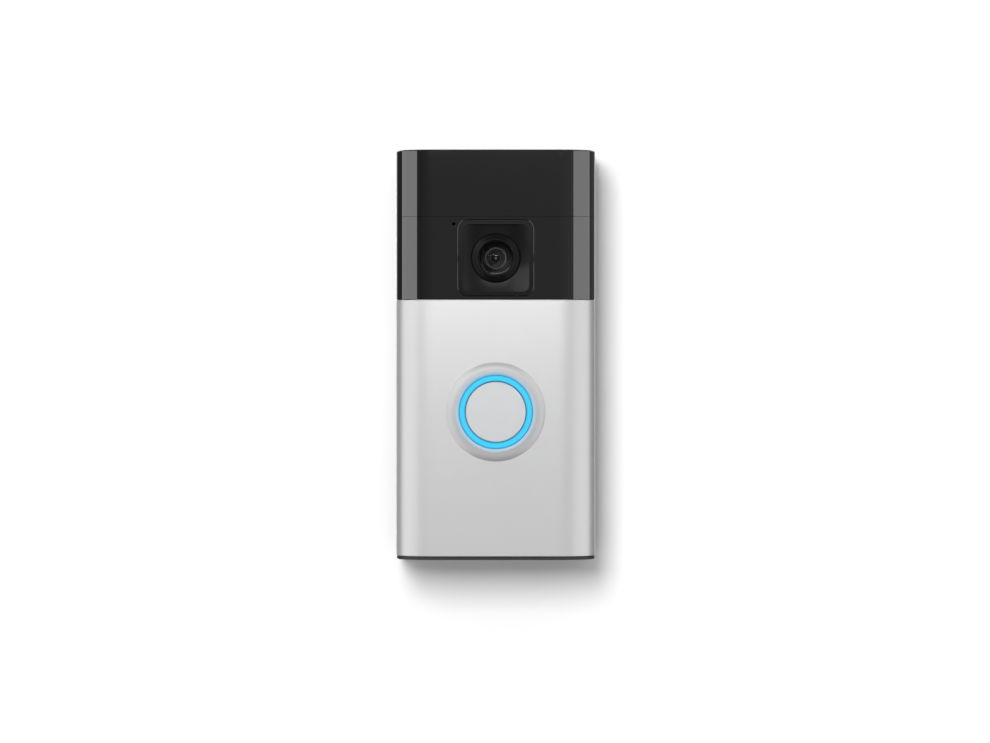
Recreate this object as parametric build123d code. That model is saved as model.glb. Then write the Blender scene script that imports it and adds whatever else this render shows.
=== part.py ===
from build123d import *
import math
import os

# Video doorbell with its wall bracket, in millimetres.
# The origin is the centre of the bracket's back face, where it meets the wall.
# +Z is up, +X is to the right as a visitor sees it, and the front faces -Y.
# Depths are distances out from the wall, so a depth d lies at y = -d.

# Driving dimensions of the outside
WIDTH = 62.0
HEIGHT = 127.0
FRONT = 26.5  # depth of the flat front face
CREST = 28.0  # depth of the raised ring around the button
FLAT_HALF = 19.7  # half the width of the flat part of the front
SOFT_RADIUS = 22.0  # first, gentle arc from the flat front
SOFT_ANGLE = 18.0  # degrees that the gentle arc turns
TIGHT_RADIUS = 6.5  # second arc, round to the side
TOP = HEIGHT / 2
BOTTOM = -HEIGHT / 2
SEAM = 42.8  # height of the seam between motion window and camera cover
PLATE_TOP = 17.1  # height of the seam between camera cover and faceplate
LIP = 1.0  # thickness of the housing's lip under the faceplate
SEAM_GAP = 0.1  # between motion window and camera cover
PLATE_GAP = 0.16  # between camera cover and faceplate

# Wall stack of the casing
COVER_WALL = 1.4
INNER_INSET = 1.7
INNER_WALL = 1.3
EDGE_BREAK = 0.35
PLATE_BREAK = 0.15
BACK = 4.2  # depth of the unit's back face
BACK_WALL = 2.0
SPLIT = 9.0  # depth where rear housing and covers meet at the side
TONGUE_INSET = 2.0
TONGUE_WALL = 1.2
TONGUE_DEPTH = 12.5
COVER_BACK = SPLIT + 0.15
FRAME_BACK = TONGUE_DEPTH + 0.2
PLUG_WALL = 1.5  # extra thickness of the bottom wall inside the covers

# Camera
CAMERA_Z = 30.0
RECESS_W = 23.2
RECESS_H = 23.5
RECESS_R = 3.0
RECESS_BREAK = 0.2
BARREL_R = 7.65
DOME_R = 5.2
DISH_RADIUS = 40.0  # the dish around the barrel is part of a sphere
DISH_DEPTH = 23.7  # where that sphere is deepest
MIC_X = -13.0
MIC_Z = 40.5
MIC_R = 0.45

# Button
BUTTON_Z = -17.7
BOSS_R = 15.4
RING_OUT_R = 11.4
RING_IN_R = 9.5
CAP_R = 9.33
CAP_FRONT = 27.25
CAP_BREAK = 0.15
STEM_R = 2.0
FLANGE_R = 14.0

# Bracket, hooks and latch
BRACKET_INSET = 1.2
BRACKET_PLATE = 2.4
BRACKET_RIM = 4.0
POCKET = 0.9  # depth of the weight-saving pockets in the bracket's back
BRACKET_TOP = 60.0
RIM_TOP = 55.0
RIM_WALL = 1.8
HOOK_X = 16.0
HOOK_W = 8.0
SCREW_X = 22.0
SCREW_Z = 46.0
WALL_HOLE_R = 2.2
WALL_HEAD_R = 4.0
WIRE_W = 26.0
WIRE_LOW = 14.0
WIRE_HIGH = 44.0
LATCH_W = 12.0
LATCH_Z = -56.0
LATCH_DEPTH = 7.1  # depth of the latch's nose, over the release-pin hole

# Boards, battery and inner parts
BOARD = 1.2
MAIN_BOARD = 18.0  # depth of the main board's front
REAR_BOARD = 11.0  # depth of the rear board's back face
LED_BOARD = 22.0
SENSOR_BOARD = 13.2
PIR_BOARD = 14.4
CELL_X = 41.0
CELL_Z = 54.0
CELL_Y = 8.0
CELL_LOW = -42.0
CELL_BACK = 7.5
LEAD_R = 0.7
LEAD_DEPTH = 9.6
USB_Z = 22.0
TERMINAL_X = 7.5
TERMINAL_Z = 36.0
SETUP_X = -14.0
SETUP_Z = 24.0
SETUP_R = 2.5
HOUSING_SCREW_X = 25.0
HOUSING_SCREW_Z = (-50.0, 8.0, 52.0)
SPEAKER_Z = -60.5
SPEAKER_DEPTH = 12.6
SLOTS = 5


def box(x0, x1, near, far, z0, z1):
    """Block from x0 to x1, between two depths, from height z0 to z1."""
    middle = ((x0 + x1) / 2, -(near + far) / 2, (z0 + z1) / 2)
    return Pos(*middle) * Box(x1 - x0, far - near, z1 - z0)


def rod(x, z, radius, near, far):
    """Round bar along the depth, between two depths."""
    return Pos(x, -(near + far) / 2, z) * Rot(90, 0, 0) * Cylinder(radius, far - near)


def rod_up(x, depth, radius, low, high):
    """Round bar along the height."""
    return Pos(x, -depth, (low + high) / 2) * Cylinder(radius, high - low)


def tube(x, z, outer, inner, near, far):
    """Hollow round bar along the depth."""
    return rod(x, z, outer, near, far) - rod(x, z, inner, near - 1, far + 1)


def turned(x, z, points):
    """Solid of revolution about the depth axis at x, z, from (radius, depth) points."""
    outline = make_face(Polyline(*[(r, -d) for r, d in points], close=True))
    return Pos(x, 0, z) * revolve(outline, Axis.Y)


def rounded(width, height, radius, near, far, z):
    """Rounded rectangle extruded between two depths, centred on height z."""
    face = Plane.XZ.offset(near) * RectangleRounded(width, height, radius)
    return Pos(0, 0, z) * extrude(face, far - near)


def casing(inset, near, low, high):
    """The casing's full section, moved in by inset, from its front back to a depth."""
    front = -(FRONT - inset)
    soft = SOFT_RADIUS - inset
    tight = TIGHT_RADIUS - inset
    turn = math.radians(SOFT_ANGLE)
    mid_x = FLAT_HALF + soft * math.sin(turn)
    mid_y = front + soft * (1 - math.cos(turn))
    side_x = mid_x + tight * (1 - math.sin(turn))
    side_y = mid_y + tight * math.cos(turn)
    lean = Vector(math.cos(turn), math.sin(turn))
    right = [
        TangentArc((FLAT_HALF, front), (mid_x, mid_y), tangent=(1, 0)),
        TangentArc((mid_x, mid_y), (side_x, side_y), tangent=lean),
        Line((side_x, side_y), (side_x, -near)),
    ]
    left = [edge.mirror(Plane.YZ) for edge in right]
    ends = [
        Line((-FLAT_HALF, front), (FLAT_HALF, front)),
        Line((side_x, -near), (-side_x, -near)),
    ]
    face = make_face(right + left + ends)
    return Pos(0, 0, low) * extrude(face, high - low, dir=(0, 0, 1))


def soften(shape, size):
    """Break the long outline edges at a shell's upper and lower ends."""
    low = shape.edges().group_by(Axis.Z)[0]
    high = shape.edges().group_by(Axis.Z)[-1]
    return chamfer(low + high, size)


# Bracket -----------------------------------------------------------------

def mounting_bracket():
    half = WIDTH / 2 - BRACKET_INSET
    low = BOTTOM + BRACKET_INSET
    body = box(-half, half, 0, BRACKET_PLATE, low, BRACKET_TOP)
    body += box(-half, half, 0, BRACKET_RIM, low, RIM_TOP)
    inner = half - RIM_WALL
    body -= box(-inner, inner, BRACKET_PLATE, BRACKET_RIM + 1, low + RIM_WALL, BRACKET_TOP)
    body = fillet(body.edges().filter_by(Axis.Y).group_by(Axis.Z)[0], 2.5)
    for x in (-22.3, -4.2, 4.2, 22.3):
        body += box(x - 0.6, x + 0.6, 0, BRACKET_RIM - 0.3, -48, 8)
    opening_z = (WIRE_LOW + WIRE_HIGH) / 2
    body -= rounded(WIRE_W, WIRE_HIGH - WIRE_LOW, 3, -1, BRACKET_RIM + 1, opening_z)
    for x in (-SCREW_X, SCREW_X):
        for z in (-SCREW_Z, SCREW_Z):
            body -= rod(x, z, WALL_HOLE_R, -1, BRACKET_PLATE + 1)
            flare = [(0, 0.8), (WALL_HOLE_R, 0.8), (WALL_HEAD_R, 2.4), (WALL_HEAD_R, 3), (0, 3)]
            body -= turned(x, z, flare)
    for side in (-1, 1):
        x = side * HOOK_X
        body += box(x - HOOK_W / 2, x + HOOK_W / 2, 0, 7.5, 57.4, 59.1)
        body += box(x - HOOK_W / 2, x + HOOK_W / 2, 6.6, 7.5, 57.4, 60.1)
    for row in range(3):
        low = 4.0 - row * 17.0
        for side in (-1, 1):
            x = side * 13.25
            body -= box(x - 8.25, x + 8.25, -1, POCKET, low - 14.0, low)
    window = LATCH_W / 2 + 1
    return body - box(-window, window, -1, BRACKET_PLATE + 0.1, -57.8, -42)


def latch_arm():
    half = LATCH_W / 2
    arm = box(-half, half, 0.4, 1.4, -56.6, -42.05)
    arm += box(-half, half, 0.4, 7.6, LATCH_Z - 0.6, LATCH_Z + 0.6)
    nose = Plane.YZ.offset(-half) * make_face(
        Polyline((-6.6, LATCH_Z), (-7.6, LATCH_Z), (-7.6, -57.0), (-6.6, -57.9), close=True)
    )
    return arm + extrude(nose, LATCH_W)


# Casing ------------------------------------------------------------------

def rear_housing():
    inner = WIDTH / 2 - 1.6
    floor = BOTTOM + LIP + PLUG_WALL
    body = box(-WIDTH / 2, WIDTH / 2, BACK, SPLIT, BOTTOM, TOP)
    body = chamfer(body.faces().sort_by(Axis.Y)[-1].edges(), 0.8)
    body -= box(-inner, inner, BACK + BACK_WALL, SPLIT + 1, floor, TOP - 1.6)
    # tongue that reaches forward inside the covers
    reach = WIDTH / 2 - TONGUE_INSET
    core = reach - TONGUE_WALL
    ring = box(-reach, reach, BACK + 1, TONGUE_DEPTH, floor - 0.5, TOP - TONGUE_INSET)
    ring -= box(-core, core, 0, TONGUE_DEPTH + 1, floor, TOP - TONGUE_INSET - TONGUE_WALL)
    body += ring
    # lip that shows as a thin line under the faceplate, and the floor above it
    body += soften(casing(0.15, SPLIT - 1, BOTTOM, BOTTOM + LIP), 0.25)
    body += casing(INNER_INSET, SPLIT - 1, BOTTOM + LIP - 0.2, floor)
    # windows in the back wall: hooks, latch, charging port, terminals, setup button
    for side in (-1, 1):
        x = side * HOOK_X
        body -= box(x - HOOK_W / 2 - 0.5, x + HOOK_W / 2 + 0.5, BACK - 1, 9, 55.0, 59.55)
    body -= box(-LATCH_W / 2 - 0.6, LATCH_W / 2 + 0.6, BACK - 1, 9, -59.0, -54.8)
    body -= rounded(9.4, 3.7, 1.6, BACK - 1, 9, USB_Z)
    for side in (-1, 1):
        x = side * TERMINAL_X
        body -= rod(x, TERMINAL_Z, 1.8, BACK - 1, 9)
        body -= rod(x, TERMINAL_Z, 3.5, BACK - 1, BACK + 1.4)
    body -= rod(SETUP_X, SETUP_Z, SETUP_R + 0.2, BACK - 1, 9)
    for x, z in housing_screw_places():
        body -= rod(x, z, 1.5, BACK - 1, 9)
        body -= rod(x, z, 2.7, BACK - 1, BACK + 1.3)
    # sound slots and release hole through the floor
    for i in range(SLOTS):
        x = (i - (SLOTS - 1) / 2) * 4.6
        slot = Pos(x, -SPEAKER_DEPTH, BOTTOM + LIP) * Box(3.2, 1.3, 6)
        body -= fillet(slot.edges().filter_by(Axis.Z), 0.6)
    body -= rod_up(0, LATCH_DEPTH, 1.1, BOTTOM - 1, BOTTOM + LIP + PLUG_WALL + 1)
    return body


def housing_screw_places():
    """Six screws hold the rear housing: two in each row."""
    return [(side * HOUSING_SCREW_X, z) for z in HOUSING_SCREW_Z for side in (-1, 1)]


def motion_window():
    low = SEAM + SEAM_GAP / 2
    body = casing(0, COVER_BACK, low, TOP)
    body = chamfer(body.edges().group_by(Axis.Z)[-1], EDGE_BREAK)
    return body - casing(COVER_WALL, 0, low - 1, TOP - COVER_WALL)


def camera_cover():
    low = PLATE_TOP + PLATE_GAP / 2
    high = SEAM - SEAM_GAP / 2
    body = casing(0, COVER_BACK, low, high) - casing(COVER_WALL, 0, low - 1, high + 1)
    body -= rounded(RECESS_W, RECESS_H, RECESS_R, FRONT - 3, FRONT + 1, CAMERA_Z)
    front = body.edges().group_by(Axis.Y)[0].filter_by_position(Axis.X, -RECESS_W / 2, RECESS_W / 2)
    rim = front.filter_by_position(Axis.Z, CAMERA_Z - RECESS_H / 2, CAMERA_Z + RECESS_H / 2)
    body = chamfer(rim, RECESS_BREAK)
    body -= rod(MIC_X, MIC_Z, MIC_R, FRONT - 3, FRONT + 1)
    mouth = [(0, FRONT - 0.15), (MIC_R, FRONT - 0.15), (MIC_R + 0.15, FRONT + 0.1), (0, FRONT + 0.1)]
    return body - turned(MIC_X, MIC_Z, mouth)


def faceplate():
    low = BOTTOM + LIP + 0.06
    high = PLATE_TOP - PLATE_GAP / 2
    body = soften(casing(0, COVER_BACK, low, high), PLATE_BREAK)
    body -= casing(COVER_WALL, 0, low - 1, high + 1)
    body -= rod(0, BUTTON_Z, 13.4, FRONT - 3, FRONT + 1)
    return body + button_boss()


def button_boss():
    """Raised rounded ring of the faceplate around the lit ring."""
    outline = [
        Line((BOSS_R, -25.6), (BOSS_R, -FRONT + 0.04)),
        ThreePointArc((BOSS_R, -FRONT + 0.04), (14.55, -27.3), (13.0, -27.88)),
        ThreePointArc((13.0, -27.88), (12.2, -CREST), (RING_OUT_R + 0.12, -27.8)),
        Line((RING_OUT_R + 0.12, -27.8), (RING_OUT_R + 0.12, -25.1)),
        Line((RING_OUT_R + 0.12, -25.1), (13.6, -25.1)),
        Line((13.6, -25.1), (BOSS_R, -25.6)),
    ]
    return Pos(0, 0, BUTTON_Z) * revolve(make_face(outline), Axis.Y)


def front_housing():
    low = BOTTOM + LIP + PLUG_WALL + 0.1
    high = TOP - COVER_WALL - 0.2
    body = casing(INNER_INSET, FRAME_BACK, low, high)
    body -= casing(INNER_INSET + INNER_WALL, 0, low + 1.2, high - 1.2)
    body -= rod(0, BUTTON_Z, FLANGE_R + 0.6, FRONT - 6, FRONT)
    body -= box(-14.6, 14.6, FRONT - 6, FRONT, 18.2, 42.4)
    body -= box(-13.4, 13.4, 7, 17.6, low - 1, low + 2)
    body -= box(-WIDTH, WIDTH, 14.2, FRONT, 46.0, 60.3)
    for side in (-1, 1):
        body -= rounded(5.4, 20, 1.5, FRONT - 6, FRONT, CAMERA_Z).moved(Location((side * 19.5, 0, 0)))
    for x, z in housing_screw_places():
        side = math.copysign(1, x)
        wall = WIDTH / 2 - INNER_INSET - INNER_WALL
        body += rod(x, z, 2.6, FRAME_BACK, 16.4)
        body += box(*sorted((x, side * (wall + 0.3))), FRAME_BACK, 16.4, z - 1, z + 1)
        body -= rod(x, z, 1.1, FRAME_BACK - 1, 16.3)
    return body


def housing_gasket():
    half = WIDTH / 2 - COVER_WALL - 0.08
    hole = WIDTH / 2 - TONGUE_INSET + 0.08
    high = TOP - COVER_WALL - 0.08
    body = box(-half, half, 9.3, 10.5, BOTTOM + LIP + PLUG_WALL + 0.1, high)
    top = TOP - TONGUE_INSET + 0.08
    return body - box(-hole, hole, 9, 11, BOTTOM, top)


def housing_screws():
    group = []
    for x, z in housing_screw_places():
        screw = rod(x, z, 2.4, BACK + 0.15, BACK + 1.25) + rod(x, z, 1.05, BACK + 0.5, 16.2)
        screw -= Pos(x, -BACK - 0.3, z) * Box(3.0, 1.0, 0.6)
        screw -= Pos(x, -BACK - 0.3, z) * Box(0.6, 1.0, 3.0)
        group.append(screw)
    return group


# Faceplate group -----------------------------------------------------------

def ring_diffuser():
    outline = [
        (RING_IN_R, 23.2), (RING_OUT_R, 23.2), (RING_OUT_R, 24.0), (FLANGE_R, 24.0),
        (FLANGE_R, 25.0), (RING_OUT_R, 25.0), (RING_OUT_R, 27.3), (11.1, 27.6),
        (9.8, 27.6), (RING_IN_R, 27.3),
    ]
    return turned(0, BUTTON_Z, outline)


def button_carrier():
    plate = tube(0, BUTTON_Z, RING_IN_R - 0.02, STEM_R + 0.06, 23.2, 24.2)
    for side in (-1, 1):
        plate -= rod(side * 6.2, BUTTON_Z, 0.8, 23, 25)
    return plate


def button_cap():
    """Round cap with a broken edge, a guide stem and a snap collar behind the carrier."""
    outline = [
        (0, 22.35), (1.6, 22.35), (2.5, 22.9), (2.5, 23.1), (STEM_R, 23.1), (STEM_R, 25.9),
        (CAP_R, 25.9), (CAP_R, CAP_FRONT - CAP_BREAK), (CAP_R - CAP_BREAK, CAP_FRONT), (0, CAP_FRONT),
    ]
    return turned(0, BUTTON_Z, outline)


def button_membrane():
    outline = [(4.0, 24.25), (7.6, 24.25), (7.6, 24.6), (5.6, 25.8), (3.2, 25.8), (3.2, 25.4), (4.0, 25.2)]
    return turned(0, BUTTON_Z, outline)


# Camera ----------------------------------------------------------------------

def camera_bezel():
    """Square rim round a dish that runs down to the lens barrel, with side tabs behind the cover."""
    width = RECESS_W - 0.24
    height = RECESS_H - 0.24
    body = rounded(width, height, RECESS_R - 0.12, 22.6, FRONT - 0.1, CAMERA_Z)
    body += box(-13.3, 13.3, 24.2, 25.05, CAMERA_Z - 8, CAMERA_Z + 8)
    pocket = rounded(20.6, 20.9, 1.9, DISH_DEPTH - 1, FRONT + 1, CAMERA_Z)
    bowl = Pos(0, -DISH_DEPTH - DISH_RADIUS, CAMERA_Z) * Sphere(DISH_RADIUS)
    body -= pocket & bowl
    groove = rounded(width - 1.0, height - 1.0, 2.4, FRONT - 0.4, FRONT + 1, CAMERA_Z)
    body -= groove - rounded(width - 1.6, height - 1.6, 2.1, FRONT - 1, FRONT + 2, CAMERA_Z)
    return body - rod(0, CAMERA_Z, BARREL_R + 0.05, 20, FRONT + 1)


def camera_seal():
    return tube(0, CAMERA_Z, 10.4, BARREL_R + 0.1, 22.05, 22.55)


def lens_barrel():
    outline = [
        (4.1, 14.4), (BARREL_R, 14.4), (BARREL_R, 24.75), (7.35, 25.1), (5.75, 25.7),
        (5.5, 25.7), (DOME_R + 0.1, 25.3), (DOME_R + 0.1, 22.0), (4.1, 21.6), (4.1, 18.4),
        (3.1, 17.8), (3.1, 16.4), (4.1, 16.2),
    ]
    return turned(0, CAMERA_Z, outline)


def lens_retainer():
    return turned(0, CAMERA_Z, [(4.5, 22.05), (5.26, 22.05), (5.26, 23.6), (4.5, 23.6)])


def cap_of_ball(radius, near, tip):
    """Part of a ball: a round face of the given radius at depth near, and its tip further out."""
    sag = tip - near
    ball = (radius**2 + sag**2) / (2 * sag)
    return Pos(0, ball - tip, CAMERA_Z) * Sphere(ball) & rod(0, CAMERA_Z, radius, near, tip + 1)


def lens_dome():
    """Front element: a deep meniscus whose dome stands proud of the barrel."""
    body = rod(0, CAMERA_Z, DOME_R, 23.65, 24.8) + cap_of_ball(DOME_R, 24.75, 26.7)
    return body - cap_of_ball(4.2, 23.6, 25.0)


def lens_element_middle():
    return rod(0, CAMERA_Z, 4.0, 19.9, 20.4) + cap_of_ball(4.0, 20.35, 21.5)


def lens_element_rear():
    return rod(0, CAMERA_Z, 4.0, 18.5, 18.9) + cap_of_ball(4.0, 18.85, 19.6)


def infrared_filter():
    return box(-2.0, 2.0, 15.6, 15.9, CAMERA_Z - 2.0, CAMERA_Z + 2.0)


def image_sensor():
    return box(-2.9, 2.9, 14.3, 15.2, CAMERA_Z - 2.3, CAMERA_Z + 2.3)


def sensor_board():
    plate = box(-11, 11, SENSOR_BOARD, 14.2, CAMERA_Z - 10, CAMERA_Z + 10)
    for x in (-9.5, 9.5):
        for z in (-8.5, 8.5):
            plate -= rod(x, CAMERA_Z + z, 0.9, 12, 16)
    return plate


# Front sensors -----------------------------------------------------------------

def led_board():
    plate = box(-24.5, 24.5, LED_BOARD - 1, LED_BOARD, 17.6, 42.4)
    return plate - rod(0, CAMERA_Z, 10.6, 20, 24)


def infrared_leds():
    group = []
    for side in (-1, 1):
        for step in (-1, 0, 1):
            x = side * 19.5
            z = CAMERA_Z + step * 6.4
            lamp = box(x - 1.6, x + 1.6, LED_BOARD, LED_BOARD + 0.9, z - 1.6, z + 1.6)
            dome = Pos(x, -LED_BOARD - 0.6, z) * Sphere(1.35)
            group.append(lamp + (dome & box(x - 2, x + 2, LED_BOARD + 0.5, 26, z - 2, z + 2)))
    return group


def microphone():
    near = LED_BOARD
    body = box(MIC_X - 1.3, MIC_X + 1.3, near, near + 1.0, MIC_Z - 1.7, MIC_Z + 1.7)
    return body - rod(MIC_X, MIC_Z, 0.4, near + 0.5, near + 2)


def microphone_seal():
    return tube(MIC_X, MIC_Z, 1.25, 0.7, LED_BOARD + 1.05, 25.05)


def ambient_light_sensor():
    return box(-MIC_X - 1, -MIC_X + 1, LED_BOARD, LED_BOARD + 0.8, MIC_Z - 1, MIC_Z + 1)


def fresnel_insert():
    """Thin ribbed lens strip behind the motion window."""
    body = casing(COVER_WALL + 0.12, 14.4, 46.4, 60.0)
    body -= casing(COVER_WALL + 0.8, 0, 46, 61)
    for x in range(-18, 19, 3):
        body -= Pos(x, -FRONT + COVER_WALL + 0.82, 53.2) * Box(0.5, 0.5, 12)
    return body


def pir_board():
    plate = box(-22, 22, PIR_BOARD - 1, PIR_BOARD, 46.2, 60.0)
    for side in (-1, 1):
        plate -= box(side * HOOK_X - 5, side * HOOK_X + 5, 12, 16, 58.6, 61)
    return plate


def pir_sensors():
    group = []
    for side in (-1, 1):
        x = side * 12.0
        can = rod(x, 52.2, 4.6, PIR_BOARD, 14.9) + rod(x, 52.2, 4.1, 14.8, 18.4)
        group.append(can - box(x - 2, x + 2, 18.0, 19, 50.9, 53.5))
    return group


def pir_filters():
    return [box(s * 12.0 - 1.9, s * 12.0 + 1.9, 18.05, 18.35, 51.0, 53.4) for s in (-1, 1)]


# Boards and electronics ----------------------------------------------------------

def main_board():
    plate = box(-25, 25, MAIN_BOARD - BOARD, MAIN_BOARD, -46.0, 15.5)
    for x, z in housing_screw_places():
        plate -= rod(x, z, 3.2, 12, 20)
    return plate


def shield_can():
    body = box(-20, -3, MAIN_BOARD, 20.0, -44, -31)
    body = chamfer(body.faces().sort_by(Axis.Y)[0].edges(), 0.3)
    return body - box(-19.7, -3.3, MAIN_BOARD - 1, 19.7, -43.7, -31.3)


def processor():
    return box(-15.5, -7.5, MAIN_BOARD, 19.1, -41.5, -33.5)


def power_coils():
    return [rod(x, -37.5, 2.6, MAIN_BOARD, 20.8) for x in (3.5, 10.5)]


def wifi_antenna():
    foil = box(19.0, 23.5, MAIN_BOARD, 18.6, -12, 4)
    return foil - box(20.4, 24.5, 17, 20, -9, -5) - box(18, 22.1, 17, 20, -3, 1)


def ring_leds():
    group = []
    for i in range(12):
        lamp = box(-0.8, 0.8, MAIN_BOARD, 18.7, -0.4, 0.4)
        angle = i * 30
        radius = (RING_IN_R + RING_OUT_R) / 2
        group.append(Pos(0, 0, BUTTON_Z) * Rot(0, angle, 0) * Pos(0, 0, radius) * lamp)
    return group


def light_guide():
    outline = [
        (RING_IN_R + 0.2, 19.0), (RING_OUT_R - 0.1, 19.0), (RING_OUT_R + 0.3, 22.2),
        (16.4, 22.2), (16.4, 23.4), (14.2, 23.4), (14.2, 22.9), (RING_IN_R + 0.2, 22.9),
    ]
    return turned(0, BUTTON_Z, outline)


def doorbell_switch():
    body = box(-3, 3, MAIN_BOARD, 21.2, BUTTON_Z - 3, BUTTON_Z + 3)
    return body - rod(0, BUTTON_Z, 1.8, 19.4, 22)


def switch_plunger():
    return rod(0, BUTTON_Z, 1.72, 20.05, 22.3)


def rear_board():
    plate = box(-20, 21.5, REAR_BOARD, REAR_BOARD + 1, 14.2, 43.5)
    plate -= box(6, 15, 10, 13, 13, 21)
    return plate


def usb_shell():
    body = rounded(8.94, 3.26, 1.55, BACK + 0.3, REAR_BOARD, USB_Z)
    return body - rounded(8.34, 2.66, 1.3, BACK - 1, REAR_BOARD - 0.4, USB_Z)


def usb_tongue():
    return box(-3.3, 3.3, BACK + 1.2, REAR_BOARD - 0.4, USB_Z - 0.35, USB_Z + 0.35)


def terminal_plates():
    group = []
    for side in (-1, 1):
        x = side * TERMINAL_X
        plate = box(x - 3.2, x + 3.2, 6.3, 7.1, TERMINAL_Z - 3.2, TERMINAL_Z + 3.2)
        plate += box(x - 1, x + 1, 6.3, REAR_BOARD, TERMINAL_Z - 3.2, TERMINAL_Z - 2.4)
        group.append(plate - rod(x, TERMINAL_Z, 1.52, 5, 9))
    return group


def terminal_screws():
    group = []
    for side in (-1, 1):
        x = side * TERMINAL_X
        screw = rod(x, TERMINAL_Z, 3.0, BACK + 0.2, BACK + 1.4) + rod(x, TERMINAL_Z, 1.5, BACK + 1, 9.5)
        screw -= box(x - 2.2, x + 2.2, BACK, BACK + 0.8, TERMINAL_Z - 0.35, TERMINAL_Z + 0.35)
        screw -= box(x - 0.35, x + 0.35, BACK, BACK + 0.8, TERMINAL_Z - 2.2, TERMINAL_Z + 2.2)
        group.append(screw)
    return group


def setup_button():
    outline = [(0, BACK + 0.3), (SETUP_R, BACK + 0.3), (SETUP_R, 6.3), (3.4, 6.3), (3.4, 7.5), (0, 7.5)]
    return turned(SETUP_X, SETUP_Z, outline)


def setup_switch():
    body = box(SETUP_X - 2.6, SETUP_X + 2.6, 9.0, REAR_BOARD, SETUP_Z - 2.6, SETUP_Z + 2.6)
    return body - rod(SETUP_X, SETUP_Z, 1.3, 8, 10.2)


def setup_plunger():
    return rod(SETUP_X, SETUP_Z, 1.22, 7.5, 9.6)


# Battery and speaker ----------------------------------------------------------------

def battery_cradle():
    half = CELL_X / 2
    high = CELL_LOW + CELL_Z
    body = box(-half - 1.2, half + 1.2, 6.3, 13.5, CELL_LOW - 1.2, high + 1.2)
    body -= box(-half - 0.1, half + 0.1, 7.3, 20, CELL_LOW - 0.1, high + 0.1)
    body -= box(6, 14, 6, 20, high - 4, high + 2)
    body -= rounded(26, 34, 4, 5, 9, CELL_LOW + CELL_Z / 2)
    return body


def battery_cell():
    far = CELL_BACK + CELL_Y
    cell = box(-CELL_X / 2, CELL_X / 2, CELL_BACK, far, CELL_LOW, CELL_LOW + CELL_Z)
    return fillet(cell.edges().filter_by(Axis.Z), 3.2)


def battery_pad():
    low = CELL_LOW + 8
    return box(-15, 15, CELL_BACK + CELL_Y, MAIN_BOARD - BOARD, low, low + 38)


def battery_lead():
    """Jacketed pair from the cell to its plug: straight runs joined by tangent arcs."""
    high = CELL_LOW + CELL_Z
    route = [(10, -LEAD_DEPTH, high), (10, -LEAD_DEPTH, high + 4), (18, -LEAD_DEPTH, high + 8)]
    route.append((18, -LEAD_DEPTH, high + 12))
    path = FilletPolyline(*route, radius=2.7)
    return sweep(Plane(route[0], z_dir=(0, 0, 1)) * Circle(LEAD_R), path)


def battery_plug():
    low = CELL_LOW + CELL_Z + 12
    return box(15.4, 20.6, 8.4, 10.7, low, low + 3.4)


def battery_socket():
    low = CELL_LOW + CELL_Z + 14
    body = box(14.8, 21.2, 8.0, REAR_BOARD, low, low + 5)
    return body - box(15.35, 20.65, 8.35, 10.75, low - 1, low + 1.45)


def speaker_frame():
    near, far = SPEAKER_DEPTH - 4.6, SPEAKER_DEPTH + 4.6
    body = box(-13, 13, near, far, SPEAKER_Z, SPEAKER_Z + 6)
    body -= box(-11.6, 11.6, near + 1.4, far - 1.4, SPEAKER_Z - 1, SPEAKER_Z + 4.6)
    return body - rod_up(0, SPEAKER_DEPTH, 3.1, SPEAKER_Z, SPEAKER_Z + 8)


def speaker_cone():
    outer = Plane.XY.offset(SPEAKER_Z + 0.6) * Pos(0, -SPEAKER_DEPTH) * RectangleRounded(22.8, 6.0, 2.6)
    inner = Plane.XY.offset(SPEAKER_Z + 2.6) * Pos(0, -SPEAKER_DEPTH) * RectangleRounded(12, 3.2, 1.4)
    solid = loft([outer.face(), inner.face()])
    return solid - Pos(0, 0, -0.5) * solid


def speaker_magnet():
    return rod_up(0, SPEAKER_DEPTH, 3.0, SPEAKER_Z + 3.0, SPEAKER_Z + 8.2)


def speaker_gasket():
    near, far = SPEAKER_DEPTH - 4.6, SPEAKER_DEPTH + 4.6
    body = box(-13, 13, near, far, SPEAKER_Z - 0.5, SPEAKER_Z)
    return body - box(-11.6, 11.6, near + 1.4, far - 1.4, SPEAKER_Z - 1, SPEAKER_Z + 1)


PIECES = [
    mounting_bracket, latch_arm, rear_housing, motion_window, camera_cover, faceplate,
    front_housing, housing_gasket, housing_screws, ring_diffuser, button_carrier, button_cap,
    button_membrane, camera_bezel, camera_seal, lens_barrel, lens_retainer, lens_dome,
    lens_element_middle, lens_element_rear, infrared_filter, image_sensor, sensor_board,
    led_board, infrared_leds, microphone, microphone_seal, ambient_light_sensor,
    fresnel_insert, pir_board, pir_sensors, pir_filters, main_board, shield_can, processor,
    power_coils, wifi_antenna, ring_leds, light_guide, doorbell_switch, switch_plunger,
    rear_board, usb_shell, usb_tongue, terminal_plates, terminal_screws, setup_button,
    setup_switch, setup_plunger, battery_cradle, battery_cell, battery_pad, battery_lead,
    battery_plug, battery_socket, speaker_frame, speaker_cone, speaker_magnet, speaker_gasket,
]


def as_shape(made):
    """One compound of separate solids, whatever a piece's function returned."""
    group = made if isinstance(made, list) else [made]
    return Compound(children=[solid for item in group for solid in item.solids()])


os.makedirs("parts", exist_ok=True)
for piece in PIECES:
    export_step(as_shape(piece()), f"parts/{piece.__name__}.step")
print(len(PIECES), "nodes written")
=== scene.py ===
# %% [markdown]
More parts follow.
